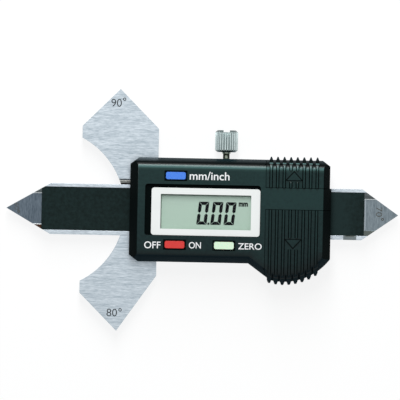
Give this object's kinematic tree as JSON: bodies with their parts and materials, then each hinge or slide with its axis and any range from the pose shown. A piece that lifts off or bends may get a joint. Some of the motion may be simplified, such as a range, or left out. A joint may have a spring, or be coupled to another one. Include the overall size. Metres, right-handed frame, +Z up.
{
  "type": "digital weld gauge",
  "caption": "Digital weld gauge: a pointed steel beam slides through a cross-shaped slider with angled corners and a concave throat, under a black housing with a display.",
  "frame": {"origin": "middle of the beam's length with the beam as pictured, on the beam's axis, at the back of the slider", "axes": "+X along the beam to its 70 degree tip, +Y across it to the lock screw, +Z up out of the display"},
  "size_m": [0.1232, 0.076, 0.0143],
  "materials": {
    "beam_steel": "ground, polished rails",
    "plate_steel": "brushed along X",
    "gib_metal": "plain",
    "screw_steel": "plain",
    "knob_metal": "satin nickel",
    "pad_brass": "turned",
    "housing_black": "satin, finely grained",
    "label_black": "printed film",
    "bezel_white": "glossy",
    "window_clear": "clear",
    "panel_grey": "grey-green liquid crystal panel",
    "strip_pink": "elastomer",
    "board_green": "solder mask",
    "chip_black": "epoxy",
    "contact_gold": "plated",
    "cell_steel": "plated can",
    "key_blue": "satin",
    "key_red": "satin",
    "key_green": "satin",
    "port_black": "moulded"
  },
  "bodies": {
    "slider": {"slider_frame": "plate_steel", "gib_strip": "gib_metal", "gib_screws": "screw_steel", "stop_pin": "screw_steel", "front_housing": "housing_black", "housing_screws": "screw_steel", "display_bezel": "bezel_white", "display_window": "window_clear", "lcd_panel": "panel_grey", "contact_strips": "strip_pink", "main_board": "board_green", "chip_cap": "chip_black", "key_domes": "contact_gold", "button_cell": "cell_steel", "cell_spring": "contact_gold", "cell_clip": "contact_gold", "data_port": "port_black", "port_pins": "contact_gold"},
    "beam": {"beam": "beam_steel", "scale_strip": "board_green", "beam_label": "label_black"},
    "lock_pad": {"lock_pad": "pad_brass"},
    "lock_screw": {"lock_screw": "knob_metal"},
    "unit_button": {"unit_button": "key_blue"},
    "power_button": {"power_button": "key_red"},
    "zero_button": {"zero_button": "key_green"},
    "cell_door": {"cell_door": "housing_black"},
    "port_cover": {"port_cover": "housing_black"}
  },
  "joints": [
    {"name": "beam_slide", "type": "slide", "parent": "slider", "child": "beam", "axis": [1, 0, 0], "range_m": [-0.0031, 0.0235]},
    {"name": "lock_feed", "type": "slide", "parent": "slider", "child": "lock_pad", "axis": [0, 1, 0], "range_m": [-0.0000375, 0.00045]},
    {"name": "lock_turn", "type": "hinge", "parent": "lock_pad", "child": "lock_screw", "pos_m": [0.0072, 0.0225, 0.00375], "axis": [0, 1, 0], "range_deg": [-30, 360]},
    {"name": "unit_button_press", "type": "slide", "parent": "slider", "child": "unit_button", "axis": [0, 0, -1], "range_m": [0, 0.0006], "stiffness_N_per_m": 1500},
    {"name": "power_button_press", "type": "slide", "parent": "slider", "child": "power_button", "axis": [0, 0, -1], "range_m": [0, 0.0006], "stiffness_N_per_m": 1500},
    {"name": "zero_button_press", "type": "slide", "parent": "slider", "child": "zero_button", "axis": [0, 0, -1], "range_m": [0, 0.0006], "stiffness_N_per_m": 1500},
    {"name": "cell_door_slide", "type": "slide", "parent": "slider", "child": "cell_door", "axis": [0, -1, 0], "range_m": [0, 0.012]},
    {"name": "port_cover_slide", "type": "slide", "parent": "slider", "child": "port_cover", "axis": [0, 1, 0], "range_m": [0, 0.005]}
  ],
  "couplings": [
    {"joint": "lock_turn", "follows": "lock_feed", "rad_per_m": 13963}
  ]
}
